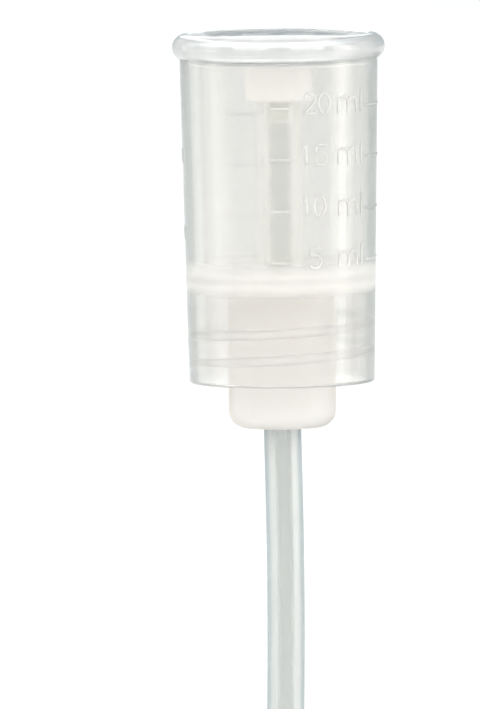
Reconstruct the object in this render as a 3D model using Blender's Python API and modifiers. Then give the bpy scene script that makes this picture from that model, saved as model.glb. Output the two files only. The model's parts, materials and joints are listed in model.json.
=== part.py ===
"""Squeeze-to-fill dosing cup for a bottle with a 28 mm screw neck.

Squeezing the bottle drives liquid up the dip tube and the riser, out under the deflector's rim and into the cup.
When the bottle is let go it sucks back all that stands above that rim, so the rim's height sets the dose.
Metres, +Z up. The origin is on the axis, on the face that seals on the bottle's neck.
"""

import math

import bmesh
import bpy
from mathutils import Matrix, Vector

# Fits
GAP = 0.00020  # between pieces that touch
RUNNING_GAP = 0.00010  # round the riser, where it slides in the gland
BURY = 0.00040  # how deep a joined shape reaches into the wall that carries it

# Facets round a turned piece
WIDE_STEPS = 48
NARROW_STEPS = 24

# Cup: one cone from the skirt to the rim
CUP_R = 0.01513  # outside, at the origin's height
CUP_TAPER = 0.020  # gain in radius per unit of height
CUP_WALL = 0.00113
SKIRT_BOTTOM = -0.0154
FLANGE_TOP = 0.0007
FLOOR_TOP = 0.0018
RIM_TOP = 0.0390
RIM_BEAD_R = 0.01598
RIM_BEAD_LOW = 0.0374

# Graduations: raised lines and bars, with volumes in cubic metres and spans in degrees round the axis from +X
FIRST_VOLUME = 5e-6
FIRST_MARK = 0.0046  # height of the 5 ml mark
MARKS_MIDDLE = 0.0168  # height at which the bore is taken for their spacing
LINE_VOLUMES = (5e-6, 10e-6, 15e-6, 20e-6)
LINE_SPANS = ((-96.0, -84.0), (-29.0, 0.0))
LINE_HEIGHT = 0.0004
BAR_SPAN = (-124.0, -99.0)
SIDE_BAR_VOLUMES = (7.5e-6, 15e-6)  # a quarter and half of a fluid ounce
SIDE_BAR_SPAN = (-188.0, -172.0)
BAR_HEIGHT = 0.0021
MARK_PROUD = 0.00015

# Thread inside the skirt: right-handed, 6 turns to the inch
THREAD_ROOT_R = 0.01395
THREAD_RIDGE_R = 0.01295
THREAD_WIRE_R = 0.00075
THREAD_PITCH = 0.0254 / 6
THREAD_TOP = -0.0050  # the ridge's upper end
THREAD_START_ANGLE = 60.0  # where that end lies, in degrees round the axis from +X
THREAD_TURNS = 1.75
THREAD_SIDES = 8
THREAD_FADE_TURNS = 0.08

# Insert: flange, well and gland
FLANGE_R = 0.0135
WELL_R = 0.0086
WELL_WALL = 0.00105
WELL_BOTTOM = -0.0227
WELL_CORNER_R = 0.0027
GLAND_TOP = -0.0170
GLAND_WALL = 0.0011
SOCKET_DEPTH = 0.0020  # recess under the gland that takes the riser's stop bead

# Riser
RISER_R = 0.0035
RISER_BORE_R = 0.0025
RISER_TOP = 0.0330
STOP_BEAD_R = 0.0039
STOP_BEAD_HEIGHT = 0.0010
TUBE_SOCKET_LENGTH = 0.0100
NOTCH_WIDTH = 0.0016
NOTCH_DEPTH = 0.0020

# Deflector
BELL_R = 0.00545
BELL_WALL = 0.0010
BELL_RIM = 0.0298
BELL_TOP = 0.0353
BELL_CORNER_R = 0.0009
RIB_THICKNESS = 0.0009
RIB_END = 0.0264

# Dip tube
TUBE_R = 0.0030
TUBE_WALL = 0.0008
TUBE_END = -0.1427
TUBE_LEAN = 0.022  # slope at the insert, towards +X
TUBE_BOW_R = 1.020  # radius that the tube keeps from its coil
TUBE_EASE = 0.006  # length over which the slope sets in
TUBE_SIDES = 16
TUBE_CUT_ANGLE = 35.0

# Lid
LID_R = 0.01705
LID_TOP = 0.0405
BEAD_ROUND = 0.0021
RECESS_FLOOR = 0.0365
RECESS_R = 0.01372
RECESS_ROUND = 0.0012
DISC_THICKNESS = 0.0009
PLUG_R = 0.01445
LIP_R = 0.01612  # inside of the lip, where it hooks under the cup's rim
LIP_BOTTOM = 0.0366

# name: colour, roughness, transmission
FINISHES = {
    "clear_polypropylene": ((0.90, 0.91, 0.90), 0.18, 0.85),
    "natural_polyethylene": ((0.90, 0.90, 0.88), 0.32, 0.45),
}


def clear_scene():
    for obj in list(bpy.data.objects):
        bpy.data.objects.remove(obj, do_unlink=True)


def collection(name):
    made = bpy.data.collections.new(name)
    bpy.context.scene.collection.children.link(made)
    return made


def finish(name):
    """The Principled material of that name."""
    found = bpy.data.materials.get(name)
    if found:
        return found
    colour, roughness, transmission = FINISHES[name]
    made = bpy.data.materials.new(name)
    made.use_nodes = True
    shader = made.node_tree.nodes["Principled BSDF"]
    shader.inputs["Base Color"].default_value = (*colour, 1.0)
    shader.inputs["Roughness"].default_value = roughness
    shader.inputs["Metallic"].default_value = 0.0
    shader.inputs["Transmission Weight"].default_value = transmission
    return made


def arc(centre_r, centre_z, radius, start, end, steps):
    """Points (radius, height) on an arc, in degrees from outward towards +Z."""
    angles = (math.radians(start + (end - start) * i / steps) for i in range(steps + 1))
    return [(centre_r + radius * math.cos(a), centre_z + radius * math.sin(a)) for a in angles]


def cup_r(height):
    """The cup's outside radius at that height."""
    return CUP_R + CUP_TAPER * height


def placed(obj, parent, material, group):
    obj.parent = parent
    if material:
        obj.data.materials.append(finish(material))
    group.objects.link(obj)
    return obj


def turned(name, profile, steps, closed=True):
    """A body turned about Z. Its profile runs down the outer side first; an open one starts and ends on the axis."""
    mesh = bpy.data.meshes.new(name)
    edges = [(i, i + 1) for i in range(len(profile) - 1)]
    if closed:
        edges.append((len(profile) - 1, 0))
    mesh.from_pydata([(r, 0.0, z) for r, z in profile], edges, [])
    obj = bpy.data.objects.new(name, mesh)
    screw = obj.modifiers.new("Turn", "SCREW")
    screw.axis = "Z"
    screw.angle = math.tau
    screw.steps = screw.render_steps = steps
    screw.use_merge_vertices = True
    screw.merge_threshold = 1e-6
    screw.use_smooth_shade = True
    return obj


def tube_along(name, points, radius, sides, widths=None, capped=True):
    """A round bar along the points, as a mesh. Without caps it is an open skin."""
    curve = bpy.data.curves.new(name, "CURVE")
    curve.dimensions = "3D"
    curve.bevel_depth = radius
    curve.bevel_resolution = (sides - 4) // 2
    curve.use_fill_caps = capped
    spline = curve.splines.new("POLY")
    spline.points.add(len(points) - 1)
    for i, (spot, place) in enumerate(zip(spline.points, points)):
        spot.co = (*place, 1.0)
        spot.radius = widths[i] if widths else 1.0
    guide = bpy.data.objects.new(name + "_line", curve)
    bpy.context.scene.collection.objects.link(guide)
    graph = bpy.context.evaluated_depsgraph_get()
    mesh = bpy.data.meshes.new_from_object(guide.evaluated_get(graph))
    obj = bpy.data.objects.new(name, mesh)
    obj.matrix_world = guide.matrix_world
    bpy.data.objects.remove(guide)
    shape = bmesh.new()
    shape.from_mesh(mesh)
    bmesh.ops.remove_doubles(shape, verts=shape.verts, dist=1e-6)
    bmesh.ops.recalc_face_normals(shape, faces=shape.faces)
    for face in shape.faces:
        face.smooth = True
    shape.to_mesh(mesh)
    shape.free()
    return obj


def curved_block(shape, span, height, tall, inner_r, outer_r):
    """Adds to the bmesh a block that is wrapped round the axis over that span of degrees."""
    low, high = height - tall / 2, height + tall / 2
    corners = ((inner_r, low), (outer_r, low), (outer_r, high), (inner_r, high))
    start, end = (math.radians(a) for a in span)
    steps = max(2, round((end - start) / math.radians(7.5)))
    rings = []
    for i in range(steps + 1):
        turn = Matrix.Rotation(start + (end - start) * i / steps, 3, "Z")
        rings.append([shape.verts.new(turn @ Vector((r, 0.0, z))) for r, z in corners])
    for near, far in zip(rings, rings[1:]):
        for i in range(4):
            shape.faces.new((near[i], near[i - 1], far[i - 1], far[i]))
    shape.faces.new(rings[0])
    shape.faces.new(reversed(rings[-1]))


def box(name, size, centre, turn=0.0, tilt=0.0):
    """A box of that size, turned about Z or tilted about Y, in degrees."""
    mesh = bpy.data.meshes.new(name)
    shape = bmesh.new()
    bmesh.ops.create_cube(shape, size=1.0, matrix=Matrix.Diagonal((*size, 1.0)))
    shape.to_mesh(mesh)
    shape.free()
    obj = bpy.data.objects.new(name, mesh)
    obj.location = centre
    obj.rotation_euler = (0.0, math.radians(tilt), math.radians(turn))
    return obj


def combine(obj, other, operation, cutters):
    """Adds a Boolean with that other shape, which is kept as a guide."""
    cutters.objects.link(other)
    other.hide_render = True
    other.display_type = "WIRE"
    boolean = obj.modifiers.new(other.name, "BOOLEAN")
    boolean.operation = operation
    boolean.solver = "EXACT"
    boolean.object = other


def thread_ridge():
    """A round bar half sunk in the skirt's wall, thinner and deeper where it runs out."""
    steps = round(THREAD_TURNS * NARROW_STEPS)
    centre_r = THREAD_RIDGE_R + THREAD_WIRE_R
    points, widths = [], []
    for i in range(steps + 1):
        turns = i / NARROW_STEPS
        fade = min(1.0, turns / THREAD_FADE_TURNS, (THREAD_TURNS - turns) / THREAD_FADE_TURNS)
        angle = math.radians(THREAD_START_ANGLE) - math.tau * turns
        radius = centre_r + (1.0 - fade) * (THREAD_ROOT_R - THREAD_RIDGE_R) / 2
        points.append((radius * math.cos(angle), radius * math.sin(angle), THREAD_TOP - THREAD_PITCH * turns))
        widths.append(0.5 + 0.5 * fade)
    return tube_along("thread_ridge", points, THREAD_WIRE_R, THREAD_SIDES, widths)


def mark_height(volume):
    """The height of that volume's mark, counted from the first one."""
    bore_r = cup_r(MARKS_MIDDLE) - CUP_WALL
    area = math.pi * (bore_r**2 - RISER_R**2)
    return FIRST_MARK + (volume - FIRST_VOLUME) / area


def graduations():
    """The lines and bars, as one shape of separate blocks that reach into the cup's wall."""
    shape = bmesh.new()
    blocks = [(volume, span, LINE_HEIGHT) for volume in LINE_VOLUMES for span in LINE_SPANS]
    blocks += [(volume, BAR_SPAN, BAR_HEIGHT) for volume in LINE_VOLUMES]
    blocks += [(volume, SIDE_BAR_SPAN, BAR_HEIGHT) for volume in SIDE_BAR_VOLUMES]
    for volume, span, tall in blocks:
        height = mark_height(volume)
        curved_block(shape, span, height, tall, cup_r(height) - BURY, cup_r(height) + MARK_PROUD)
    bmesh.ops.recalc_face_normals(shape, faces=shape.faces)
    mesh = bpy.data.meshes.new("graduations")
    shape.to_mesh(mesh)
    shape.free()
    return bpy.data.objects.new("graduations", mesh)


def measuring_cup(parent, parts, cutters):
    floor_low = FLANGE_TOP + GAP
    profile = [
        (cup_r(RIM_TOP) - 0.0003, RIM_TOP),
        (RIM_BEAD_R, RIM_TOP - 0.0003),
        (RIM_BEAD_R, RIM_BEAD_LOW),
        (cup_r(RIM_BEAD_LOW - 0.0003), RIM_BEAD_LOW - 0.0003),
        *arc(cup_r(SKIRT_BOTTOM) - 0.0005, SKIRT_BOTTOM + 0.0005, 0.0005, 0, -90, 2),
        (THREAD_ROOT_R + 0.0002, SKIRT_BOTTOM),
        (THREAD_ROOT_R, SKIRT_BOTTOM + 0.0004),
        (THREAD_ROOT_R, floor_low),
        (WELL_R - WELL_WALL + 0.0004, floor_low),
        (WELL_R - WELL_WALL + 0.0004, FLOOR_TOP),
        *arc(cup_r(FLOOR_TOP) - CUP_WALL - 0.0008, FLOOR_TOP + 0.0008, 0.0008, -90, 0, 2),
        (cup_r(RIM_TOP) - CUP_WALL, RIM_TOP - 0.0002),
        (cup_r(RIM_TOP) - CUP_WALL + 0.0002, RIM_TOP),
    ]
    cup = turned("measuring_cup", profile, WIDE_STEPS)
    combine(cup, thread_ridge(), "UNION", cutters)
    combine(cup, graduations(), "UNION", cutters)
    placed(cup, parent, "clear_polypropylene", parts)


def neck_insert(parent, parts):
    inner_r = WELL_R - WELL_WALL
    inner_floor = WELL_BOTTOM + WELL_WALL
    inner_corner = WELL_CORNER_R - WELL_WALL
    gland_r = RISER_R + RUNNING_GAP
    gland_outer = gland_r + GLAND_WALL
    socket_r = STOP_BEAD_R + GAP
    profile = [
        (FLANGE_R, FLANGE_TOP),
        (FLANGE_R, 0.0),
        (WELL_R, 0.0),
        *arc(WELL_R - WELL_CORNER_R, WELL_BOTTOM + WELL_CORNER_R, WELL_CORNER_R, 0, -90, 4),
        (socket_r, WELL_BOTTOM),
        (socket_r, WELL_BOTTOM + SOCKET_DEPTH),
        (gland_r, WELL_BOTTOM + SOCKET_DEPTH),
        (gland_r, GLAND_TOP),
        (gland_outer, GLAND_TOP),
        (gland_outer, inner_floor),
        *arc(inner_r - inner_corner, inner_floor + inner_corner, inner_corner, -90, 0, 3),
        (inner_r, FLANGE_TOP),
    ]
    placed(turned("neck_insert", profile, WIDE_STEPS), parent, "natural_polyethylene", parts)


def riser_tube(parent, parts, cutters):
    bead_top = WELL_BOTTOM + SOCKET_DEPTH - GAP
    bottom = WELL_BOTTOM
    socket_r = TUBE_R + RUNNING_GAP
    socket_top = bottom + TUBE_SOCKET_LENGTH
    profile = [
        (RISER_R, RISER_TOP),
        (RISER_R, bead_top),
        (STOP_BEAD_R, bead_top - 0.0002),
        (STOP_BEAD_R, bead_top - STOP_BEAD_HEIGHT + 0.0002),
        (RISER_R, bead_top - STOP_BEAD_HEIGHT),
        (RISER_R, bottom),
        (socket_r, bottom),
        (socket_r, socket_top),
        (RISER_BORE_R, socket_top + 0.0006),
        (RISER_BORE_R, RISER_TOP),
    ]
    riser = turned("riser_tube", profile, NARROW_STEPS)
    for i in range(2):
        size = (3 * RISER_R, NOTCH_WIDTH, 2 * NOTCH_DEPTH)
        notch = box(f"riser_notch_{i}", size, (0.0, 0.0, RISER_TOP), turn=45 + 90 * i)
        combine(riser, notch, "DIFFERENCE", cutters)
    placed(riser, parent, "clear_polypropylene", parts)


def deflector_cap(parent, parts, cutters):
    roof = BELL_TOP - BELL_WALL
    profile = [
        (0.0, BELL_TOP),
        *arc(BELL_R - BELL_CORNER_R, BELL_TOP - BELL_CORNER_R, BELL_CORNER_R, 90, 0, 3),
        (BELL_R, BELL_RIM + 0.0002),
        (BELL_R - 0.0002, BELL_RIM),
        (BELL_R - BELL_WALL, BELL_RIM),
        (BELL_R - BELL_WALL, roof),
        (0.0, roof),
    ]
    bell = turned("deflector_cap", profile, NARROW_STEPS, closed=False)
    rib_top = roof + BELL_WALL / 2
    size = (2 * (RISER_BORE_R - RUNNING_GAP), RIB_THICKNESS, rib_top - RIB_END)
    for i in range(2):
        rib = box(f"deflector_rib_{i}", size, (0.0, 0.0, (rib_top + RIB_END) / 2), turn=90 * i)
        combine(bell, rib, "UNION", cutters)
    placed(bell, parent, "natural_polyethylene", parts)


def tube_centre(height):
    """A point on the dip tube's centre line: straight in the riser, then in the slow bow of a tube kept on a coil."""
    below = max(0.0, WELL_BOTTOM - height)
    side = TUBE_LEAN * below * (1.0 - math.exp(-below / TUBE_EASE)) - below**2 / (2 * TUBE_BOW_R)
    return side, 0.0, height


def dip_tube(parent, parts, cutters):
    top = WELL_BOTTOM + TUBE_SOCKET_LENGTH - GAP
    reach = TUBE_END - TUBE_R
    steps = 24
    points = [tube_centre(top + (reach - top) * i / steps) for i in range(steps + 1)]
    tube = tube_along("dip_tube", points, TUBE_R, TUBE_SIDES, capped=False)
    wall = tube.modifiers.new("Wall", "SOLIDIFY")
    wall.thickness = TUBE_WALL
    wall.offset = -1.0
    wall.use_even_offset = True
    side = tube_centre(TUBE_END)[0]
    block = 8 * TUBE_R
    tilt = math.radians(TUBE_CUT_ANGLE)
    lean = Vector((math.sin(tilt), 0.0, math.cos(tilt)))
    low = Vector((side, 0.0, TUBE_END + TUBE_R * math.tan(tilt))) - lean * block / 2
    cut = box("tube_end_cut", (block, block, block), low, tilt=TUBE_CUT_ANGLE)
    combine(tube, cut, "DIFFERENCE", cutters)
    placed(tube, parent, "natural_polyethylene", parts)


def lid(parent, parts):
    disc_low = RECESS_FLOOR - DISC_THICKNESS
    bead_r = LID_R - BEAD_ROUND
    ceiling = RIM_TOP + GAP + 0.0001
    profile = [
        (0.0, RECESS_FLOOR),
        *arc(RECESS_R - 0.0007, RECESS_FLOOR + 0.0007, 0.0007, -90, 0, 2),
        *arc(bead_r, LID_TOP - RECESS_ROUND, RECESS_ROUND, 180, 90, 3),
        *arc(bead_r, LID_TOP - BEAD_ROUND, BEAD_ROUND, 75, -48, 7),
        (LIP_R + 0.0001, LIP_BOTTOM),
        (LIP_R, LIP_BOTTOM + 0.0001),
        (LIP_R, RIM_BEAD_LOW - GAP - 0.0001),
        (RIM_BEAD_R + 0.0003, RIM_BEAD_LOW + GAP),
        (RIM_BEAD_R + 0.0003, RIM_TOP - 0.0006),
        (RIM_BEAD_R - 0.0002, ceiling),
        (PLUG_R + 0.0004, ceiling),
        (PLUG_R, ceiling - 0.0004),
        (PLUG_R, disc_low + 0.0004),
        (PLUG_R - 0.0004, disc_low),
        (0.0, disc_low),
    ]
    placed(turned("lid", profile, WIDE_STEPS, closed=False), parent, "natural_polyethylene", parts)


def slide(name, parent, group):
    """An empty on the axis, which carries what moves along Z together."""
    empty = bpy.data.objects.new(name, None)
    empty.parent = parent
    group.objects.link(empty)
    return empty


def main():
    clear_scene()
    parts = collection("dosing_cup")
    cutters = collection("cutters")
    cup_body = slide("cup_body", None, parts)
    dose_slide = slide("dose_slide", cup_body, parts)
    lid_lift = slide("lid_lift", cup_body, parts)
    measuring_cup(cup_body, parts, cutters)
    neck_insert(cup_body, parts)
    riser_tube(dose_slide, parts, cutters)
    deflector_cap(dose_slide, parts, cutters)
    dip_tube(dose_slide, parts, cutters)
    lid(lid_lift, parts)


main()
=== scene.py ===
"""Looks of a squeeze-to-fill dosing cup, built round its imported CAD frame.

Metres, +Z up, in the frame's own axes. The origin is on the axis, at the face that seals on the
bottle's neck. -Y is the front, which carries the graduations, and +X is to its right.
"""

import json
import math

import bmesh
import bpy
from mathutils import Matrix, Vector


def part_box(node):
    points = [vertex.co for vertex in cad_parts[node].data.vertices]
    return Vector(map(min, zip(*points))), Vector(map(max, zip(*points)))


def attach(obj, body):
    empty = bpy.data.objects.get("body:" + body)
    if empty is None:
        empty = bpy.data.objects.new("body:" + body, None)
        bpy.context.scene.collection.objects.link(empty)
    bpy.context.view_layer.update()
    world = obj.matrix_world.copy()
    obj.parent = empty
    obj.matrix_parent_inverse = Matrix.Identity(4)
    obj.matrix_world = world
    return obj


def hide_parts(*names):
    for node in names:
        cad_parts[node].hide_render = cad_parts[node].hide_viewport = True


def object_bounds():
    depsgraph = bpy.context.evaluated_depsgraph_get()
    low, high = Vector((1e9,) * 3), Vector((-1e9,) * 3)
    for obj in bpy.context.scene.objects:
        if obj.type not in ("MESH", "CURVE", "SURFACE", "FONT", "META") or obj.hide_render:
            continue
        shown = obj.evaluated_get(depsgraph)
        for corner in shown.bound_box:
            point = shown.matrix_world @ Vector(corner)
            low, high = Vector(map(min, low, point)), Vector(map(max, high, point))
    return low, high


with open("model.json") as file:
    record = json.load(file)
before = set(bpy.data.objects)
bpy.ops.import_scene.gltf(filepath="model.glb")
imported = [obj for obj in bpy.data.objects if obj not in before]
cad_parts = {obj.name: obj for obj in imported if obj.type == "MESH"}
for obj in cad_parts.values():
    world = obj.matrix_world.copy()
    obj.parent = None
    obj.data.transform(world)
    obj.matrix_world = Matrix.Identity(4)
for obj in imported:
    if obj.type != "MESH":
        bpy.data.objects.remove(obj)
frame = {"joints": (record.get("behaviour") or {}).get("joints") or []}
cad_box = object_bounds()

# Fineness of the meshes
WIDE_SEGMENTS = 192
NARROW_SEGMENTS = 96
TUBE_RINGS = 120
THREAD_STEPS = 72  # to a turn
FILLET_STEP = math.radians(15)
BAR_STEP = math.radians(1)
STROKE_STEP = 0.08  # in letter heights
SHARP_ANGLE = math.radians(35)
ROUND_ENOUGH = 0.03  # how far, as a sine, a face of a turned surface may look off its own radius
NEAR_AXIS = 1e-5
SAME_PLACE = 1e-8

# Levels and radii read from the frame
CUP_LOW, CUP_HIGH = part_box("measuring_cup")
INSERT_LOW, INSERT_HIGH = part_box("neck_insert")
RISER_LOW, RISER_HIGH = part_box("riser_tube")
BELL_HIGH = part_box("deflector_cap")[1]
TUBE_LOW, TUBE_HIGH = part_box("dip_tube")
LID_LOW, LID_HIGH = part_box("lid")
DOSE_TRAVEL = -min(min(joint["range_m"]) for joint in frame["joints"])

# Radii of the moulded edges
SQUARE = 0.0
CRISP = 0.0001
FINE = 0.0002
SMALL = 0.0003
SOFT = 0.0004
BROAD = 0.0005

# Cup
CUP_R = 0.01513  # outside, at the origin's height
CUP_TAPER = 0.020
CUP_WALL = 0.00113
FLOOR_TOP = 0.0018
FLOOR_LOW = 0.0009
FLOOR_FILLET = 0.0008
FLOOR_HOLE_SETBACK = 0.0004
SKIRT_INNER_R = 0.01395
LEAD_IN_WIDTH = 0.0003
LEAD_IN_HEIGHT = 0.0005
RIM_BEAD_R = 0.01598
RIM_BEAD_LOW = 0.0374
RIM_BEAD_CHAMFER = 0.0003

# Thread ridge, 6 turns to the inch
RIDGE_R = 0.01295
RIDGE_WIRE_R = 0.00075
THREAD_PITCH = 0.0254 / 6
THREAD_TOP = -0.0050
THREAD_START = math.radians(60)
THREAD_TURNS = 1.75
THREAD_FADE = 0.08

# Graduations
FIRST_VOLUME = 5e-6
FIRST_MARK = 0.0046
MARKS_MIDDLE = 0.0168
MARK_PROUD = 0.00015
BAR_PROUD = 0.00008
LINE_HALF = 0.0002
BAR_HALF = 0.00105
TEXT_HEIGHT = 0.0034
TEXT_DROP = 0.0010  # from a mark's level to the letters' foot
ROUND_SECTION = 2.0  # the power in a section's outline, where more is squarer
WIRE_SECTION = 2.4
FLAT_SECTION = 7.0
TIP_SIZE = 0.35  # of a bar's end, beside the bar

# Insert
WELL_R = 0.0086
WELL_WALL = 0.00105
WELL_CORNER_R = 0.0027
GLAND_TOP = -0.0170
GLAND_WALL = 0.0011
GLAND_GAP = 0.0001
BEAD_SOCKET_R = 0.0041
BEAD_SOCKET_DEPTH = 0.0020

# Riser, deflector and dip tube
RISER_R = 0.0035
RISER_BORE_R = 0.0025
STOP_BEAD_HEIGHT = 0.0010
STOP_BEAD_GAP = 0.0002
TUBE_SOCKET_LENGTH = 0.0100
TUBE_SOCKET_CONE = 0.0006
NOTCH_WIDTH = 0.0016
NOTCH_DEPTH = 0.0020
BELL_HEIGHT = 0.0055
BELL_WALL = 0.0010
BELL_EDGE = 0.0009
RIB_THICKNESS = 0.0009
RIB_END = 0.0264
TUBE_R = 0.0030
TUBE_WALL = 0.0008
TUBE_LEAN = 0.022
TUBE_BOW_R = 1.020
TUBE_EASE = 0.006
TUBE_CUT_ANGLE = math.radians(35)

# Lid
BEAD_ROUND = 0.0021
LIP_ROUND = 0.98 * BEAD_ROUND  # a hair less, so that the bead's two arcs don't meet
LIP_ANGLE = math.radians(48)
LIP_RUN = 0.00117
LIP_DROP = 0.0007
LIP_THICKNESS = 0.0004
LIP_R = 0.01612
LID_GAP = 0.0003
GROOVE_FOOT = 0.0002
GROOVE_SHOULDER = 0.0006
GROOVE_BEVEL = 0.0002
RECESS_FLOOR = 0.0365
RECESS_R = 0.01372
RECESS_DRAFT = 0.00003
RECESS_FILLET = 0.0007
RECESS_EDGE = 0.0012
PLUG_R = 0.01445

# Camera
CAMERA_DISTANCE = 2.2
CAMERA_PITCH = math.radians(4.35)
CAMERA_ROLL = math.radians(0.66)
CAMERA_AIM = Vector((-0.0067, 0.0, -0.0110))
FRAME_SPAN = 0.11365  # height of the picture at the object
SENSOR = 36.0  # millimetres

# Room
FLOOR_SIZE = 24.0
FLOOR_LEVEL = cad_box[0].z - DOSE_TRAVEL - 0.003  # just clear of the tube at its lowest
FLOOR_COLOUR = (0.80, 0.80, 0.80)
# A dark card that paints shade into the plastics' reflections, standing for an unlit part of the room
FLAG_LIFT = 0.0005
FLAG_LEFT, FLAG_RIGHT = -0.04, 0.50
FLAG_NEAR, FLAG_FAR = 0.03, 0.80
SHADE_CARD_COLOUR = (0.04, 0.09, 0.11)
BACKDROP_STRENGTH = 1.05  # the far end of the room, as the camera sees it past the floor's edge
SKY_STRENGTH = 0.70
SKY_COLOUR = (0.96, 0.985, 1.0)
SHADE_COLOUR = (0.28, 0.40, 0.44)  # an unlit part of the room, behind and to the right
SHADE_DIRECTION = (0.30, 1.0, 0.10)
SHADE_WIDTH = math.radians(48)

# Lamps
WHITE = (1.0, 1.0, 1.0)
WARM_LIGHT = (1.0, 0.97, 0.93)
LAMP_WATTS = math.pi  # a lamp of this many watts for each square metre looks as bright as a lit white sheet
CUP_MIDDLE = (0.0, 0.0, 0.01)
BEHIND_CUP = (-0.15, 3.4, -0.17)
# Name, azimuth from the front towards +X and elevation in degrees, distance, size, strength, colour, aim
LAMPS = (
    ("wash", 180, 90, 1.0, (0.9, 6.0), 1.58, WHITE, BEHIND_CUP),
    ("front_left", -32, 32, 1.3, (0.9, 0.8), 3.4, WARM_LIGHT, CUP_MIDDLE),
    ("front_right", 32, 32, 1.3, (0.9, 0.8), 3.4, WARM_LIGHT, CUP_MIDDLE),
    ("side_left", -83, 10, 1.3, (0.25, 0.9), 1.0, WARM_LIGHT, CUP_MIDDLE),
    ("side_left_wide", -83, 10, 1.31, (0.75, 1.0), 0.9, WARM_LIGHT, CUP_MIDDLE),
    ("side_right", 80, 10, 1.3, (0.25, 0.9), 2.6, WARM_LIGHT, CUP_MIDDLE),
    ("side_right_wide", 80, 10, 1.31, (0.75, 1.0), 1.8, WARM_LIGHT, CUP_MIDDLE),
    ("rim_left", -118, 12, 1.3, (0.5, 0.9), 1.2, WHITE, CUP_MIDDLE),
    ("rim_right", 118, 12, 1.3, (0.5, 0.9), 0.5, WHITE, CUP_MIDDLE),
    ("top", 0, 80, 1.3, (1.2, 1.0), 0.15, WHITE, CUP_MIDDLE),
)

# Plastics
POLYPROPYLENE_IOR = 1.49
POLYETHYLENE_IOR = 1.51
THICK = (0.475, 0.50, 0.475)  # what a thick layer turns to
COOL_THICK = (0.42, 0.50, 0.52)
WARM = (0.985, 0.975, 0.96)
CREAM = (0.997, 0.99, 0.975)
SOFT_WHITE = (0.958, 0.946, 0.936)
EDGE_ON = (0.40, 0.80)  # where a surface starts and ends turning edge-on, from face-on at 0 to edge-on at 1, over which the plastics' painted edge shade sets in
STREAK_SCALE = (260.0, 260.0, 18.0)
GRAIN_SCALE = 2600.0
CLOUDING = 0.04

# Haze, as the share of light that it scatters, and the heights between which it sets in
CUP_VEIL = 0.13
# Extra haze on the raised marks, which shows them as pale lines: a painted highlight in place of the light
# they catch
MARK_HIGHLIGHT_VEIL = 0.24
FLOOR_VEIL = 0.50
FLOOR_VEIL_TOP = (0.0012, 0.0052)
FLOOR_VEIL_FOOT = (-0.0014, 0.0008)
SKIRT_VEIL = 0.05
SKIRT_VEIL_TOP = (-0.0020, 0.0)
# Extra haze on the thread ridge inside the skirt, which shows it as pale lines: a painted highlight
RIDGE_HIGHLIGHT_VEIL = 0.2
RIDGE_VEIL_TOP = (-0.0020, -0.0010)
RIDGE_VEIL_RADII = (SKIRT_INNER_R - 0.0003, SKIRT_INNER_R - 0.0001)
INSERT_VEIL = 0.70
BELL_VEIL = 0.98
LID_VEIL = 0.18
PLUG_VEIL = 0.95
PLUG_VEIL_TOP = (RECESS_FLOOR - 0.0009, RECESS_FLOOR - 0.0002)
RISER_VEIL = 0.02
# Haze added where the riser's wall is seen edge-on: partly the cloudiness of a longer path, partly a
# painted highlight in the stripes along its sides
RISER_SIDE_HAZE_AND_HIGHLIGHT = 0.65
RISER_EDGE_ON = (0.06, 0.18)
RISER_VEIL_RADII = (1.05 * RISER_BORE_R, 1.25 * RISER_BORE_R)
TUBE_VEIL = 0.08
# Haze added where the dip tube is seen edge-on: partly haze, partly a painted highlight along its sides
TUBE_SIDE_HAZE_AND_HIGHLIGHT = 0.50
TUBE_EDGE_ON = (0.03, 0.14)


# Shapes


def cup_r(height):
    """The cup's outside radius at that height."""
    return CUP_R + CUP_TAPER * height


def rounded(corners, closed):
    """The outline through corners (radius, height, fillet), each fillet as an arc."""
    made = []
    for i, (r, z, fillet) in enumerate(corners):
        here = Vector((r, z))
        if not fillet or (not closed and i in (0, len(corners) - 1)):
            made.append(here)
            continue
        back = (Vector(corners[i - 1][:2]) - here).normalized()
        ahead = (Vector(corners[(i + 1) % len(corners)][:2]) - here).normalized()
        opening = back.angle(ahead)
        centre = here + (back + ahead).normalized() * fillet / math.sin(opening / 2)
        spoke = here + back * fillet / math.tan(opening / 2) - centre
        turn = (math.pi - opening) * (1 if back.cross(ahead) < 0 else -1)
        steps = max(2, math.ceil(abs(turn) / FILLET_STEP))
        for k in range(steps + 1):
            angle = turn * k / steps
            c, s = math.cos(angle), math.sin(angle)
            made.append(centre + Vector((spoke.x * c - spoke.y * s, spoke.x * s + spoke.y * c)))
    return made


def add_object(name, data):
    made = bpy.data.objects.new(name, data)
    bpy.context.scene.collection.objects.link(made)
    return made


def evaluated_mesh(piece):
    """The piece's mesh with its modifiers applied, which are then removed."""
    graph = bpy.context.evaluated_depsgraph_get()
    mesh = bpy.data.meshes.new_from_object(piece.evaluated_get(graph))
    piece.modifiers.clear()
    return mesh


def finished(name, shape, smooth=True):
    """The bmesh as an object, with its faces turned outwards."""
    bmesh.ops.remove_doubles(shape, verts=shape.verts, dist=SAME_PLACE)
    bmesh.ops.recalc_face_normals(shape, faces=shape.faces)
    for face in shape.faces:
        face.smooth = smooth
    mesh = bpy.data.meshes.new(name)
    shape.to_mesh(mesh)
    shape.free()
    return add_object(name, mesh)


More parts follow.
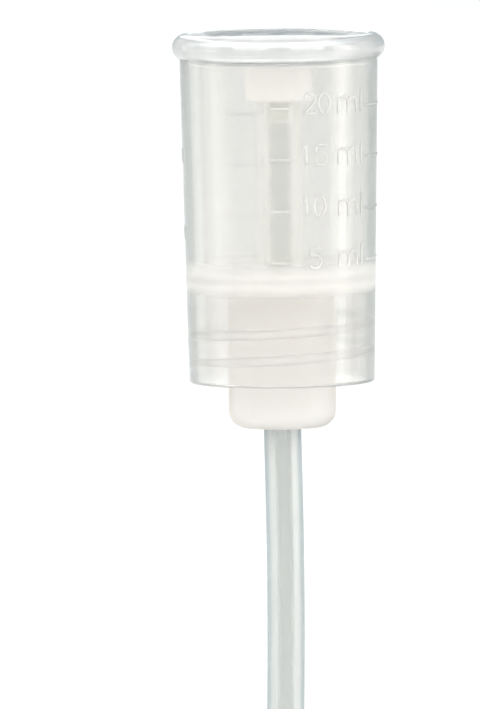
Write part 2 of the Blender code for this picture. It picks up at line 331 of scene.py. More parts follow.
def turned(name, corners, closed=True, segments=WIDE_SEGMENTS):
    """A body turned about Z from its filleted outline. An open outline starts and ends on the axis."""
    shape = bmesh.new()
    spokes = []
    for i in range(segments):
        angle = math.tau * i / segments
        spokes.append((math.cos(angle), math.sin(angle)))
    rings = []
    for point in rounded(corners, closed):
        if point.x < NEAR_AXIS:
            rings.append([shape.verts.new((0.0, 0.0, point.y))] * segments)
        else:
            rings.append([shape.verts.new((point.x * c, point.x * s, point.y)) for c, s in spokes])
    pairs = list(zip(rings, rings[1:])) + ([(rings[-1], rings[0])] if closed else [])
    for near, far in pairs:
        for i in range(segments):
            around = (near[i], near[i - 1], far[i - 1], far[i])
            different = list(dict.fromkeys(around))
            if len(different) > 2:
                shape.faces.new(different)
    return finished(name, shape)


def swept(shape, points, outwards, half_width, half_height, sides=12, section=WIRE_SECTION, blunt=0.5):
    """Adds a bar to the bmesh, along points. outwards are the surface normals there, half_width lies along
    the surface and half_height across it. section is the power in its outline, and its ends swell to full
    size over blunt times half_width."""
    rings = []
    last = len(points) - 1
    run = [0.0]
    for a, b in zip(points, points[1:]):
        run.append(run[-1] + (b - a).length)
    for i, (point, normal) in enumerate(zip(points, outwards)):
        ahead = (points[min(i + 1, last)] - points[max(i - 1, 0)]).normalized()
        side = ahead.cross(normal).normalized()
        near = min(run[i], run[-1] - run[i]) / (blunt * half_width)
        swell = TIP_SIZE + (1 - TIP_SIZE) * math.sqrt(1 - (1 - min(near, 1.0)) ** 2)
        ring = []
        for k in range(sides):
            angle = math.tau * (k + 0.5) / sides
            c, s = math.cos(angle), math.sin(angle)
            size = (abs(c) ** section + abs(s) ** section) ** (-1 / section)
            offset = side * (c * size * half_width) + normal * (s * size * half_height)
            ring.append(shape.verts.new(point + offset * swell))
        rings.append(ring)
    for near_ring, far_ring in zip(rings, rings[1:]):
        for k in range(sides):
            shape.faces.new((near_ring[k], near_ring[k - 1], far_ring[k - 1], far_ring[k]))
    shape.faces.new(rings[0])
    shape.faces.new(reversed(rings[-1]))


def combined(piece, tools, operation):
    """The piece with the tools joined to it or cut from it. The tools are used up."""
    for tool in tools:
        boolean = piece.modifiers.new(tool.name, "BOOLEAN")
        boolean.operation = operation
        boolean.solver = "MANIFOLD"
        boolean.object = tool
    piece.data = evaluated_mesh(piece)
    for tool in tools:
        bpy.data.objects.remove(tool)
    return piece


def evened(piece):
    """Makes a turned piece shade as truly round: its corner normals point straight away from its axis."""
    piece.data.set_sharp_from_angle(angle=SHARP_ANGLE)
    weighted = piece.modifiers.new("Even_normals", "WEIGHTED_NORMAL")
    weighted.keep_sharp = True
    weighted.weight = 100
    mesh = evaluated_mesh(piece)
    normals = [corner.vector.copy() for corner in mesh.corner_normals]
    for face in mesh.polygons:
        spoke = Vector((face.center.x, face.center.y, 0.0)).normalized()
        if abs(face.normal.cross(spoke).z) > ROUND_ENOUGH:
            continue
        for i in face.loop_indices:
            at = mesh.vertices[mesh.loops[i].vertex_index].co
            out = Vector((at.x, at.y, 0.0))
            if out.length < NEAR_AXIS:
                continue
            across = normals[i].dot(out.normalized())
            normals[i] = (out.normalized() * across + Vector((0.0, 0.0, normals[i].z))).normalized()
    mesh.normals_split_custom_set(normals)
    piece.data = mesh
    return piece


def box(name, size, centre, turn=0.0):
    shape = bmesh.new()
    place = Matrix.Translation(centre) @ Matrix.Rotation(turn, 4, "Z") @ Matrix.Diagonal((*size, 1.0))
    bmesh.ops.create_cube(shape, size=1.0, matrix=place)
    return finished(name, shape, smooth=False)


# Lettering: strokes in units of the letters' height


def bend(centre_x, centre_y, radius_x, radius_y, start, end, steps):
    """Points along part of an ellipse, in degrees."""
    angles = (math.radians(start + (end - start) * i / steps) for i in range(steps + 1))
    return [(centre_x + radius_x * math.cos(a), centre_y + radius_y * math.sin(a)) for a in angles]


def arch(start_x, width, height):
    """One arch of an m, from its shoulder to its foot."""
    radius = width / 2
    return bend(start_x + radius, height - radius, radius, radius, 180, 0, 12) + [(start_x + width, 0.0)]


# Each letter's strokes are smooth, and meet or cross only one another
STROKES = {
    "0": [
        bend(0.30, 0.50, 0.29, 0.48, 90, 270, 20),
        bend(0.30, 0.50, 0.29, 0.48, 270, 450, 20),
    ],
    "1": [
        [(0.20, 0.98), (0.20, 0.02)],
        [(0.0, 0.80), (0.20, 0.98)],
    ],
    "2": [
        bend(0.29, 0.70, 0.27, 0.28, 165, -35, 20) + [(0.02, 0.03)],
        [(0.02, 0.03), (0.60, 0.03)],
    ],
    "5": [
        [(0.58, 0.97), (0.12, 0.97)],
        bend(0.29, 0.33, 0.31, 0.31, 135, -150, 24),
        [(0.12, 0.97), (0.07, 0.55)],
    ],
    "m": [
        [(0.0, 0.0), (0.0, 0.74)],
        arch(0.0, 0.58, 0.74),
        arch(0.58, 0.58, 0.74),
    ],
    "l": [
        [(0.0, 0.0), (0.0, 1.06)],
    ],
}
STROKE_LAYERS = max(len(strokes) for strokes in STROKES.values())
# Each label's letters and where they start, in millimetres round the cup from the front
LABELS = {
    5e-6: (("5", 4.55), ("m", 10.0), ("l", 15.2)),
    10e-6: (("1", 3.55), ("0", 5.45), ("m", 10.0), ("l", 15.2)),
    15e-6: (("1", 3.55), ("5", 5.60), ("m", 10.0), ("l", 15.2)),
    20e-6: (("2", 3.95), ("0", 6.40), ("m", 10.0), ("l", 15.2)),
}
MILLIMETRE = 0.001
LINE_SPANS = ((-6.0, 6.0), (61.0, 90.0))  # degrees from the front, towards +X
BAR_SPAN = (-34.0, -9.0)
SIDE_BAR_VOLUMES = (7.5e-6, 15e-6)
SIDE_BAR_SPAN = (-98.0, -82.0)


def mark_height(volume):
    area = math.pi * ((cup_r(MARKS_MIDDLE) - CUP_WALL) ** 2 - RISER_R**2)
    return FIRST_MARK + (volume - FIRST_VOLUME) / area


def on_cup(angle, height):
    """A point on the cup's outside and the outward direction there. The angle runs from the front to +X."""
    out = Vector((math.sin(angle), -math.cos(angle), 0.0))
    normal = Vector((out.x, out.y, -CUP_TAPER)).normalized()
    return out * cup_r(height) + Vector((0.0, 0.0, height)), normal


def densified(path, step):
    """The path with points added so that none are further apart than step."""
    made = [Vector(path[0])]
    for a, b in zip(path, path[1:]):
        a, b = Vector(a), Vector(b)
        count = max(1, math.ceil((b - a).length / step))
        made += [a.lerp(b, k / count) for k in range(1, count + 1)]
    return made


def letter_strokes(shape, layer):
    """Adds one stroke of each letter, so that the shape never cuts through itself."""
    for volume, letters in LABELS.items():
        foot = mark_height(volume) - TEXT_DROP
        for letter, start in letters:
            for path in STROKES[letter][layer : layer + 1]:
                spots = []
                for x, y in densified(path, STROKE_STEP):
                    angle = (start * MILLIMETRE + x * TEXT_HEIGHT) / cup_r(foot)
                    spots.append(on_cup(angle, foot + y * TEXT_HEIGHT))
                swept(shape, [s[0] for s in spots], [s[1] for s in spots], LINE_HALF, MARK_PROUD)


def wrapped_bar(shape, span, height, half_width, proud, section, blunt):
    start, end = (math.radians(a) for a in span)
    steps = max(8, round((end - start) / BAR_STEP))
    spots = [on_cup(start + (end - start) * i / steps, height) for i in range(steps + 1)]
    swept(shape, [s[0] for s in spots], [s[1] for s in spots], half_width, proud, 16, section, blunt)


def graduations():
    """All raised marks of the cup, sunk halfway into its wall, as one shape for each layer of strokes."""
    shapes = []
    for layer in range(STROKE_LAYERS):
        shape = bmesh.new()
        if layer == 0:
            for volume in LABELS:
                for span in LINE_SPANS:
                    wrapped_bar(shape, span, mark_height(volume), LINE_HALF, MARK_PROUD, WIRE_SECTION, 1.0)
                wrapped_bar(shape, BAR_SPAN, mark_height(volume), BAR_HALF, BAR_PROUD, FLAT_SECTION, 0.4)
            for volume in SIDE_BAR_VOLUMES:
                level = mark_height(volume)
                wrapped_bar(shape, SIDE_BAR_SPAN, level, BAR_HALF, MARK_PROUD, FLAT_SECTION, 0.4)
        letter_strokes(shape, layer)
        shapes.append(finished("graduations", shape))
    return shapes


def thread_ridge():
    shape = bmesh.new()
    steps = round(THREAD_TURNS * THREAD_STEPS)
    points, outwards = [], []
    for i in range(steps + 1):
        turns = THREAD_TURNS * i / steps
        fade = min(1.0, turns / THREAD_FADE, (THREAD_TURNS - turns) / THREAD_FADE)
        angle = THREAD_START - math.tau * turns
        radius = RIDGE_R + RIDGE_WIRE_R + (1 - fade) * (SKIRT_INNER_R - RIDGE_R)
        out = Vector((math.cos(angle), math.sin(angle), 0.0))
        points.append(out * radius + Vector((0.0, 0.0, THREAD_TOP - THREAD_PITCH * turns)))
        outwards.append(out)
    swept(shape, points, outwards, RIDGE_WIRE_R, RIDGE_WIRE_R, 20, ROUND_SECTION)
    return finished("thread_ridge", shape)


# Nodes


def node(tree, kind, **values):
    """A new node. Each value is a setting of the node, or else an input's name with _ for its spaces."""
    made = tree.nodes.new(kind)
    for name, value in values.items():
        if hasattr(made, name):
            setattr(made, name, value)
        else:
            made.inputs[name.replace("_", " ")].default_value = value
    return made


def feed(tree, socket, source):
    """Gives the socket a number or another node's output."""
    if isinstance(source, (int, float)):
        socket.default_value = source
    else:
        tree.links.new(source, socket)


def maths(tree, operation, *terms, clamped=False):
    """A Math node over sockets and numbers."""
    made = node(tree, "ShaderNodeMath", operation=operation, use_clamp=clamped)
    for socket, term in zip(made.inputs, terms):
        feed(tree, socket, term)
    return made.outputs[0]


def ramp(tree, value, span, low, high):
    """value taken smoothly from low at the span's start to high at its end."""
    made = node(tree, "ShaderNodeMapRange", interpolation_type="SMOOTHSTEP")
    tree.links.new(value, made.inputs["Value"])
    for name, number in zip(("From Min", "From Max", "To Min", "To Max"), (*span, low, high)):
        made.inputs[name].default_value = number
    return made.outputs["Result"]


def blended_colour(tree, share, low, high):
    """The colour low where share is 0, turning to high where it is 1."""
    made = node(tree, "ShaderNodeMix", data_type="RGBA")
    tree.links.new(share, made.inputs[0])
    made.inputs[6].default_value = (*low, 1.0)
    made.inputs[7].default_value = (*high, 1.0)
    return made.outputs[2]


def blended_shader(tree, share, low, high):
    """The shader low where share is 0, turning to high where it is 1."""
    made = node(tree, "ShaderNodeMixShader")
    for socket, source in zip(made.inputs, (share, low, high)):
        feed(tree, socket, source)
    return made.outputs[0]


def edge_on(tree):
    """0 where a surface faces the eye, and 1 where it is seen edge-on."""
    return node(tree, "ShaderNodeLayerWeight", Blend=0.5).outputs["Facing"]


# Plastics


def moulded_surface(tree, shader, place, roughness, streak, grain):
    """Gives the shader the uneven gloss, flow waves and fine grain of moulding. Returns the waves."""
    stretched = node(tree, "ShaderNodeMapping", Scale=STREAK_SCALE)
    tree.links.new(place, stretched.inputs["Vector"])
    waves = node(tree, "ShaderNodeTexNoise", Scale=1.0, Detail=2.0, Roughness=0.5)
    tree.links.new(stretched.outputs[0], waves.inputs["Vector"])
    fine = node(tree, "ShaderNodeTexNoise", Scale=GRAIN_SCALE, Detail=3.0, Roughness=0.6)
    tree.links.new(place, fine.inputs["Vector"])
    rough = ramp(tree, waves.outputs["Fac"], (0.2, 0.8), 0.7 * roughness, 1.3 * roughness)
    tree.links.new(rough, shader.inputs["Roughness"])
    wave_bump = node(tree, "ShaderNodeBump", Strength=1.0, Distance=streak)
    grain_bump = node(tree, "ShaderNodeBump", Strength=1.0, Distance=grain)
    tree.links.new(waves.outputs["Fac"], wave_bump.inputs["Height"])
    tree.links.new(fine.outputs["Fac"], grain_bump.inputs["Height"])
    tree.links.new(wave_bump.outputs[0], grain_bump.inputs["Normal"])
    tree.links.new(grain_bump.outputs[0], shader.inputs["Normal"])
    return waves.outputs["Fac"]


def clouded_share(tree, place, veil, waves):
    """The veil's share at each place, a little higher where the waves are."""
    axes = node(tree, "ShaderNodeSeparateXYZ")
    tree.links.new(place, axes.inputs[0])
    across = maths(tree, "MULTIPLY", axes.outputs["X"], axes.outputs["X"])
    along = maths(tree, "MULTIPLY", axes.outputs["Y"], axes.outputs["Y"])
    radius = maths(tree, "SQRT", maths(tree, "ADD", across, along))
    cloudy = maths(tree, "MULTIPLY", waves, CLOUDING)
    return maths(tree, "ADD", veil(tree, radius, axes.outputs["Z"]), cloudy, clamped=True)


def plastic(
    name,
    roughness,
    ior,
    veil,
    veil_tint,
    turned_back,
    absorbed,
    density,
    streak=1e-5,
    grain=1e-6,
    tint=WHITE,
    edge=WHITE,
    edge_veil=WHITE,
    slanted=EDGE_ON,
):
    """Moulded see-through plastic. veil is the share of light that its haze scatters, either a number or a
    function of the tree, the radius and the height, and turned_back is how much of that comes back out of
    the side it went in. absorbed is the colour of thick plastic at that density. streak is the depth of the
    flow waves left by moulding and grain that of the fine texture, in metres. tint colours what is seen
    straight through. Over the slanted stretch of edge_on it turns to edge, and the haze is multiplied by
    edge_veil: both paint shade on the plastic where it is seen edge-on."""
    material = bpy.data.materials.new(name)
    material.use_nodes = True
    tree = material.node_tree
    output = tree.nodes["Material Output"]
    shader = tree.nodes["Principled BSDF"]
    # How far the surface is seen edge-on: the mask for the shade painted at its edges
    slant = ramp(tree, edge_on(tree), slanted, 0.0, 1.0)
    tree.links.new(blended_colour(tree, slant, tint, edge), shader.inputs["Base Color"])
    shader.inputs["IOR"].default_value = ior
    shader.inputs["Transmission Weight"].default_value = 1.0
    place = node(tree, "ShaderNodeTexCoord").outputs["Object"]
    waves = moulded_surface(tree, shader, place, roughness, streak, grain)
    passed_on = node(tree, "ShaderNodeBsdfTranslucent")
    sent_back = node(tree, "ShaderNodeBsdfDiffuse")
    # The haze's colour, darkened by the painted edge shade where the surface is seen edge-on
    slanted_veil_tint = tuple(a * b for a, b in zip(veil_tint, edge_veil))
    haze_colour = blended_colour(tree, slant, veil_tint, slanted_veil_tint)
    for part in (passed_on, sent_back):
        tree.links.new(haze_colour, part.inputs["Color"])
    haze = blended_shader(tree, turned_back, passed_on.outputs[0], sent_back.outputs[0])
    share = clouded_share(tree, place, veil, waves) if callable(veil) else veil
    surface = blended_shader(tree, share, shader.outputs[0], haze)
    tree.links.new(surface, output.inputs["Surface"])
    depth = node(tree, "ShaderNodeVolumeAbsorption", Color=(*absorbed, 1.0), Density=density)
    tree.links.new(depth.outputs[0], output.inputs["Volume"])
    return material


def cup_veil(tree, radius, height):
    """Light haze in the wall, more in the thick floor, and extra haze on the raised marks and the thread
    ridge, which paints highlights on them.
    """
    wall = maths(tree, "ADD", maths(tree, "MULTIPLY", height, CUP_TAPER), CUP_R)
    proud = maths(tree, "SUBTRACT", radius, wall)
    # Painted highlight: haze on the raised marks
    marks = ramp(tree, proud, (0.75 * BAR_PROUD, MARK_PROUD), 0.0, MARK_HIGHLIGHT_VEIL)
    above = ramp(tree, height, FLOOR_VEIL_TOP, FLOOR_VEIL, 0.0)
    below = ramp(tree, height, FLOOR_VEIL_FOOT, 0.0, 1.0)
    skirt = ramp(tree, height, SKIRT_VEIL_TOP, SKIRT_VEIL, 0.0)
    # Painted highlight: haze on the thread ridge inside the skirt
    inside = ramp(tree, radius, RIDGE_VEIL_RADII, RIDGE_HIGHLIGHT_VEIL, 0.0)
    ridges = maths(tree, "MULTIPLY", inside, ramp(tree, height, RIDGE_VEIL_TOP, 1.0, 0.0))
    total = maths(tree, "ADD", maths(tree, "MULTIPLY", above, below), CUP_VEIL)
    for part in (marks, skirt, ridges):
        total = maths(tree, "ADD", total, part)
    return total


def riser_veil(tree, radius, height):
    """A clear bore in a tube that looks cloudier where the eye passes along its wall: partly the haze of
    the longer path through the wall, partly a painted highlight that lights stripes along its sides.
    """
    outside = ramp(tree, edge_on(tree), RISER_EDGE_ON, RISER_VEIL, RISER_SIDE_HAZE_AND_HIGHLIGHT)
    return maths(tree, "MULTIPLY", outside, ramp(tree, radius, RISER_VEIL_RADII, 0.0, 1.0))


def tube_veil(tree, radius, height):
    """Cloudiest where the eye passes along the pipe's wall: partly haze in the wall, partly a painted
    highlight along its sides.
    """
    return ramp(tree, edge_on(tree), TUBE_EDGE_ON, TUBE_VEIL, TUBE_SIDE_HAZE_AND_HIGHLIGHT)


def lid_veil(tree, radius, height):
    """Glassy above, cloudy in the disc and plug."""
    return ramp(tree, height, PLUG_VEIL_TOP, PLUG_VEIL, LID_VEIL)


CLEAR = plastic(
    "clear_polypropylene",
    roughness=0.15,
    ior=POLYPROPYLENE_IOR,
    veil=cup_veil,
    veil_tint=WARM,
    turned_back=0.5,
    absorbed=THICK,
    density=60,
    tint=(0.95, 0.94, 0.925),
    # Painted shade: the cup's wall turns darker where it is seen edge-on, in the teal of a long path
    # through the plastic
    edge=(0.56, 0.65, 0.64),
)
RISER_CLEAR = plastic(
    "riser_polypropylene",
    roughness=0.08,
    ior=POLYPROPYLENE_IOR,
    veil=riser_veil,
    veil_tint=CREAM,
    turned_back=0.7,
    absorbed=THICK,
    density=50,
    tint=(0.89, 0.90, 0.875),
)
MILKY = plastic(
    "natural_polyethylene",
    roughness=0.12,
    ior=POLYETHYLENE_IOR,
    veil=INSERT_VEIL,
    veil_tint=SOFT_WHITE,
    turned_back=0.5,
    absorbed=THICK,
    density=30,
    grain=4e-6,
    # Painted shade: the insert's haze turns darker and warmer where it is seen edge-on
    edge_veil=(0.93, 0.915, 0.88),
)
BELL_MILKY = plastic(
    "bell_polyethylene",
    roughness=0.12,
    ior=POLYETHYLENE_IOR,
    veil=BELL_VEIL,
    veil_tint=CREAM,
    turned_back=0.94,
    absorbed=THICK,
    density=20,
    grain=4e-6,
)
LID_MILKY = plastic(
    "lid_polyethylene",
    roughness=0.12,
    ior=POLYETHYLENE_IOR,
    veil=lid_veil,
    veil_tint=(0.98, 0.973, 0.968),
    turned_back=0.86,
    absorbed=COOL_THICK,
    density=60,
    streak=2e-6,
    grain=5e-7,
    tint=(0.90, 0.91, 0.91),
)
TUBE_MILKY = plastic(
    "tube_polyethylene",
    roughness=0.10,
    ior=POLYETHYLENE_IOR,
    veil=tube_veil,
    veil_tint=(0.97, 0.97, 0.96),
    turned_back=0.5,
    absorbed=THICK,
    density=40,
    streak=1e-6,
    tint=(0.765, 0.775, 0.755),
    # Painted shade: the dip tube turns darker and bluer where it is seen edge-on, over the slanted stretch
    edge=(0.52, 0.58, 0.60),
    edge_veil=(0.65, 0.71, 0.73),
    slanted=(0.20, 0.50),
)


# Pieces


def placed(piece, cad_node, body, material):
    piece.data.materials.clear()
    piece.data.materials.append(material)
    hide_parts(cad_node)
    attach(piece, body)


def make_cup():
    rim, skirt = CUP_HIGH.z, CUP_LOW.z
    floor_hole_r = WELL_R - WELL_WALL + FLOOR_HOLE_SETBACK
    under_bead = RIM_BEAD_LOW - RIM_BEAD_CHAMFER
    cup = turned(
        "cup",
        [
            (RIM_BEAD_R, rim, SOFT),
            (RIM_BEAD_R, RIM_BEAD_LOW, FINE),
            (cup_r(under_bead), under_bead, SOFT),
            (cup_r(skirt), skirt, BROAD),
            (SKIRT_INNER_R + LEAD_IN_WIDTH, skirt, CRISP),
            (SKIRT_INNER_R, skirt + LEAD_IN_HEIGHT, SMALL),
            (SKIRT_INNER_R, FLOOR_LOW, SQUARE),
            (floor_hole_r, FLOOR_LOW, SQUARE),
            (floor_hole_r, FLOOR_TOP, FINE),
            (cup_r(FLOOR_TOP) - CUP_WALL, FLOOR_TOP, FLOOR_FILLET),
            (cup_r(rim) - CUP_WALL, rim, SMALL),
        ],
    )
    combined(cup, [thread_ridge(), *graduations()], "UNION")
    placed(evened(cup), "measuring_cup", "cup", CLEAR)


def make_insert():
    top, bottom = INSERT_HIGH.z, INSERT_LOW.z
    inner_r = WELL_R - WELL_WALL
    inner_floor = bottom + WELL_WALL
    gland_r = RISER_R + GLAND_GAP
    gland_outer = gland_r + GLAND_WALL
    socket_top = bottom + BEAD_SOCKET_DEPTH
    insert = turned(
        "well_insert",
        [
            (INSERT_HIGH.x, top, FINE),
            (INSERT_HIGH.x, 0.0, FINE),
            (WELL_R, 0.0, BROAD),
            (WELL_R, bottom, WELL_CORNER_R),
            (BEAD_SOCKET_R, bottom, FINE),
            (BEAD_SOCKET_R, socket_top, SQUARE),
            (gland_r, socket_top, SQUARE),
            (gland_r, GLAND_TOP, SMALL),
            (gland_outer, GLAND_TOP, SMALL),
            (gland_outer, inner_floor, SOFT),
            (inner_r, inner_floor, WELL_CORNER_R - WELL_WALL),
            (inner_r, top, SMALL),
        ],
    )
    placed(evened(insert), "neck_insert", "cup", MILKY)


def make_riser():
    top, bottom = RISER_HIGH.z, RISER_LOW.z
    bead_r = RISER_HIGH.x
    bead_top = bottom + BEAD_SOCKET_DEPTH - STOP_BEAD_GAP
    bead_low = bead_top - STOP_BEAD_HEIGHT
    socket_r = TUBE_R + GLAND_GAP
    socket_top = bottom + TUBE_SOCKET_LENGTH
    riser = turned(
        "riser",
        [
            (RISER_R, top, FINE),
            (RISER_R, bead_top, CRISP),
            (bead_r, bead_top, SMALL),
            (bead_r, bead_low, SMALL),
            (RISER_R, bead_low, CRISP),
            (RISER_R, bottom, CRISP),
            (socket_r, bottom, CRISP),
            (socket_r, socket_top, FINE),
            (RISER_BORE_R, socket_top + TUBE_SOCKET_CONE, SMALL),
            (RISER_BORE_R, top, FINE),
        ],
        segments=NARROW_SEGMENTS,
    )
    notch_size = (3 * RISER_R, NOTCH_WIDTH, 2 * NOTCH_DEPTH)
    turns = (math.radians(45), math.radians(135))
    combined(riser, [box("notch", notch_size, (0, 0, top), turn) for turn in turns], "DIFFERENCE")
    placed(evened(riser), "riser_tube", "riser", RISER_CLEAR)


def make_deflector():
    top, bell_r = BELL_HIGH.z, BELL_HIGH.x
    rim = top - BELL_HEIGHT
    roof = top - BELL_WALL
    bell = turned(
        "deflector",
        [
            (0.0, top, SQUARE),
            (bell_r, top, BELL_EDGE),
            (bell_r, rim, SMALL),
            (bell_r - BELL_WALL, rim, SMALL),
            (bell_r - BELL_WALL, roof, SOFT),
            (0.0, roof, SQUARE),
        ],
        closed=False,
        segments=NARROW_SEGMENTS,
    )
    rib_top = roof + BELL_WALL / 2
    rib_size = (2 * (RISER_BORE_R - GLAND_GAP), RIB_THICKNESS, rib_top - RIB_END)
    ribs = [box("rib", rib_size, (0, 0, (rib_top + RIB_END) / 2), turn) for turn in (0.0, math.pi / 2)]
    combined(bell, ribs, "UNION")
    placed(evened(bell), "deflector_cap", "riser", BELL_MILKY)


def tube_centre(height):
    """A point on the dip tube's centre line, which leaves the riser straight and then bows."""
    below = max(0.0, RISER_LOW.z - height)
    side = TUBE_LEAN * below * (1.0 - math.exp(-below / TUBE_EASE)) - below**2 / (2 * TUBE_BOW_R)
    return Vector((side, 0.0, height))


def tube_rings(shape, radius):
    """Adds one skin of the dip tube to the bmesh. Its last ring lies in the slanting cut."""
    nudge = 1e-4
    back = Vector((0.0, 1.0, 0.0))
    slope = math.tan(TUBE_CUT_ANGLE)
    top = TUBE_HIGH.z
    end = TUBE_LOW.z + TUBE_R * slope
    rings = []
    for i in range(TUBE_RINGS + 1):
        height = top + (end - top) * i / TUBE_RINGS
        centre = tube_centre(height)
        ahead = (tube_centre(height - nudge) - tube_centre(height + nudge)).normalized()
        side = back.cross(ahead).normalized()
        ring = []
        for k in range(NARROW_SEGMENTS):
            angle = math.tau * k / NARROW_SEGMENTS
            spot = centre + (side * math.cos(angle) + back * math.sin(angle)) * radius
            if i == TUBE_RINGS:
                spot -= ahead * (slope * (spot.x - centre.x))
            ring.append(shape.verts.new(spot))
        rings.append(ring)
    for near, far in zip(rings, rings[1:]):
        for k in range(NARROW_SEGMENTS):
            shape.faces.new((near[k], near[k - 1], far[k - 1], far[k]))
    return rings


def make_dip_tube():
    """Two skins, outside and bore, joined at both ends."""
    shape = bmesh.new()
    outside = tube_rings(shape, TUBE_R)
    bore = tube_rings(shape, TUBE_R - TUBE_WALL)
    for outer, inner in ((outside[0], bore[0]), (outside[-1], bore[-1])):
        for k in range(NARROW_SEGMENTS):
            shape.faces.new((outer[k], outer[k - 1], inner[k - 1], inner[k]))
    tube = finished("dip_pipe", shape)
    tube.data.set_sharp_from_angle(angle=SHARP_ANGLE)
    placed(tube, "dip_tube", "riser", TUBE_MILKY)


def make_lid():
    top, disc_low, bead_r = LID_HIGH.z, LID_LOW.z, LID_HIGH.x
    lip_corner = top - BEAD_ROUND - BEAD_ROUND * math.tan(LIP_ANGLE / 2)
    lip_low = RIM_BEAD_LOW - LIP_DROP
    groove_r = RIM_BEAD_R + LID_GAP
    ceiling = CUP_HIGH.z + LID_GAP
    lid = turned(
        "snap_lid",
        [
            (0.0, RECESS_FLOOR, SQUARE),
            (RECESS_R, RECESS_FLOOR, RECESS_FILLET),
            (RECESS_R + RECESS_DRAFT, top, RECESS_EDGE),
            (bead_r, top, BEAD_ROUND),
            (bead_r, lip_corner, LIP_ROUND),
            (bead_r - LIP_RUN * math.sin(LIP_ANGLE), lip_corner - LIP_RUN * math.cos(LIP_ANGLE), CRISP),
            (LIP_R, lip_low, CRISP),
            (LIP_R, lip_low + LIP_THICKNESS, CRISP),
            (groove_r, RIM_BEAD_LOW + GROOVE_FOOT, FINE),
            (groove_r, CUP_HIGH.z - GROOVE_SHOULDER, SOFT),
            (RIM_BEAD_R - GROOVE_BEVEL, ceiling, SMALL),
            (PLUG_R, ceiling, SOFT),
            (PLUG_R, disc_low, SOFT),
            (0.0, disc_low, SQUARE),
        ],
        closed=False,
    )
    placed(evened(lid), "lid", "lid", LID_MILKY)


# Stage


def matte(name, colour):
    material = bpy.data.materials.new(name)
    material.use_nodes = True
    shader = material.node_tree.nodes["Principled BSDF"]
    shader.inputs["Base Color"].default_value = (*colour, 1.0)
    shader.inputs["Roughness"].default_value = 0.9
    return material


def make_floor():
    bpy.ops.mesh.primitive_plane_add(size=1.0)
    floor = bpy.context.object
    floor.name = "floor"
    floor.scale = (FLOOR_SIZE, FLOOR_SIZE, 1.0)
    floor.location = (0.0, 0.0, FLOOR_LEVEL)
    material = matte("pale_floor", FLOOR_COLOUR)
    material.node_tree.nodes["Principled BSDF"].inputs["Specular IOR Level"].default_value = 0.0
    floor.data.materials.append(material)


def make_shade_card():
    """A dark grey card low behind the object, seen only in its reflections and through it: painted shade,
    which stands for an unlit part of the room.
    """
    mesh = bpy.data.meshes.new("shade_card")
    left, right, near, far = FLAG_LEFT, FLAG_RIGHT, FLAG_NEAR, FLAG_FAR
    corners = [(x, y, 0.0) for x, y in ((left, near), (right, near), (right, far), (left, far))]
    mesh.from_pydata(corners, [], [(0, 1, 2, 3)])
    shade_card = add_object("shade_card", mesh)
    shade_card.location.z = FLOOR_LEVEL + FLAG_LIFT
    shade_card.visible_camera = shade_card.visible_diffuse = shade_card.visible_shadow = False
    mesh.materials.append(matte("painted_shade_card", SHADE_CARD_COLOUR))


def softbox(name, azimuth, elevation, distance, size, strength, colour, aim):
    """A lamp facing aim. strength is how bright its face looks beside a fully lit white sheet at 1."""
    data = bpy.data.lights.new(name, "AREA")
    data.shape = "RECTANGLE"
    data.size, data.size_y = size
    data.energy = strength * LAMP_WATTS * size[0] * size[1]
    data.color = colour
    lamp = add_object(name, data)
    turn, rise = math.radians(azimuth), math.radians(elevation)
    out = Vector((math.sin(turn) * math.cos(rise), -math.cos(turn) * math.cos(rise), math.sin(rise)))
    lamp.location = Vector(aim) + out * distance
    lamp.rotation_euler = out.to_track_quat("Z", "Y").to_euler()


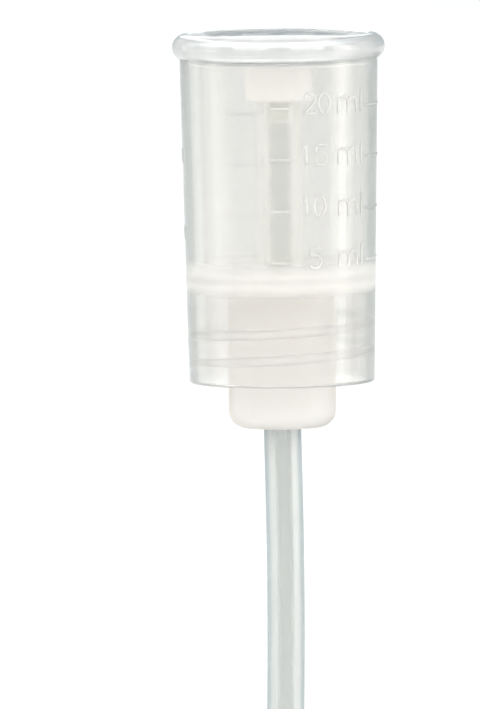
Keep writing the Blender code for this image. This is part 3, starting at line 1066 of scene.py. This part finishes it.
def make_world():
    """A soft pale sky with an unlit side, behind a plain white backdrop."""
    world = bpy.data.worlds.new("studio")
    world.use_nodes = True
    tree = world.node_tree
    sky = tree.nodes["Background"]
    sky.inputs["Strength"].default_value = SKY_STRENGTH
    towards = node(tree, "ShaderNodeTexCoord").outputs["Generated"]
    likeness = node(tree, "ShaderNodeVectorMath", operation="DOT_PRODUCT")
    tree.links.new(towards, likeness.inputs[0])
    likeness.inputs[1].default_value = Vector(SHADE_DIRECTION).normalized()
    edge = (math.cos(SHADE_WIDTH), math.cos(SHADE_WIDTH / 4))
    shade = ramp(tree, likeness.outputs["Value"], edge, 0.0, 1.0)
    tree.links.new(blended_colour(tree, shade, SKY_COLOUR, SHADE_COLOUR), sky.inputs["Color"])
    backdrop = node(tree, "ShaderNodeBackground", Color=(*WHITE, 1.0), Strength=BACKDROP_STRENGTH)
    to_camera = node(tree, "ShaderNodeLightPath").outputs["Is Camera Ray"]
    seen = blended_shader(tree, to_camera, sky.outputs[0], backdrop.outputs[0])
    tree.links.new(seen, tree.nodes["World Output"].inputs["Surface"])
    bpy.context.scene.world = world


def make_camera():
    data = bpy.data.cameras.new("camera")
    data.sensor_width = SENSOR
    data.lens = SENSOR * CAMERA_DISTANCE / FRAME_SPAN
    data.clip_start, data.clip_end = 0.05, 100.0
    camera = add_object("camera", data)
    back = Vector((0.0, -math.cos(CAMERA_PITCH), math.sin(CAMERA_PITCH)))
    camera.location = CAMERA_AIM + back * CAMERA_DISTANCE
    look = (-back).to_track_quat("-Z", "Y").to_matrix() @ Matrix.Rotation(-CAMERA_ROLL, 3, "Z")
    camera.rotation_euler = look.to_euler()
    bpy.context.scene.camera = camera


def set_look():
    """Plain colours, and enough bounces for light to pass through every wall of the plastics."""
    scene = bpy.context.scene
    scene.view_settings.view_transform = "Standard"
    scene.cycles.blur_glossy = 0.0
    scene.cycles.max_bounces = 32
    scene.cycles.transmission_bounces = 32
    scene.cycles.glossy_bounces = 32
    scene.cycles.diffuse_bounces = 32


make_camera()
make_cup()
make_insert()
make_riser()
make_deflector()
make_dip_tube()
make_lid()
make_floor()
make_shade_card()
make_world()
for lamp in LAMPS:
    softbox(*lamp)
set_look()
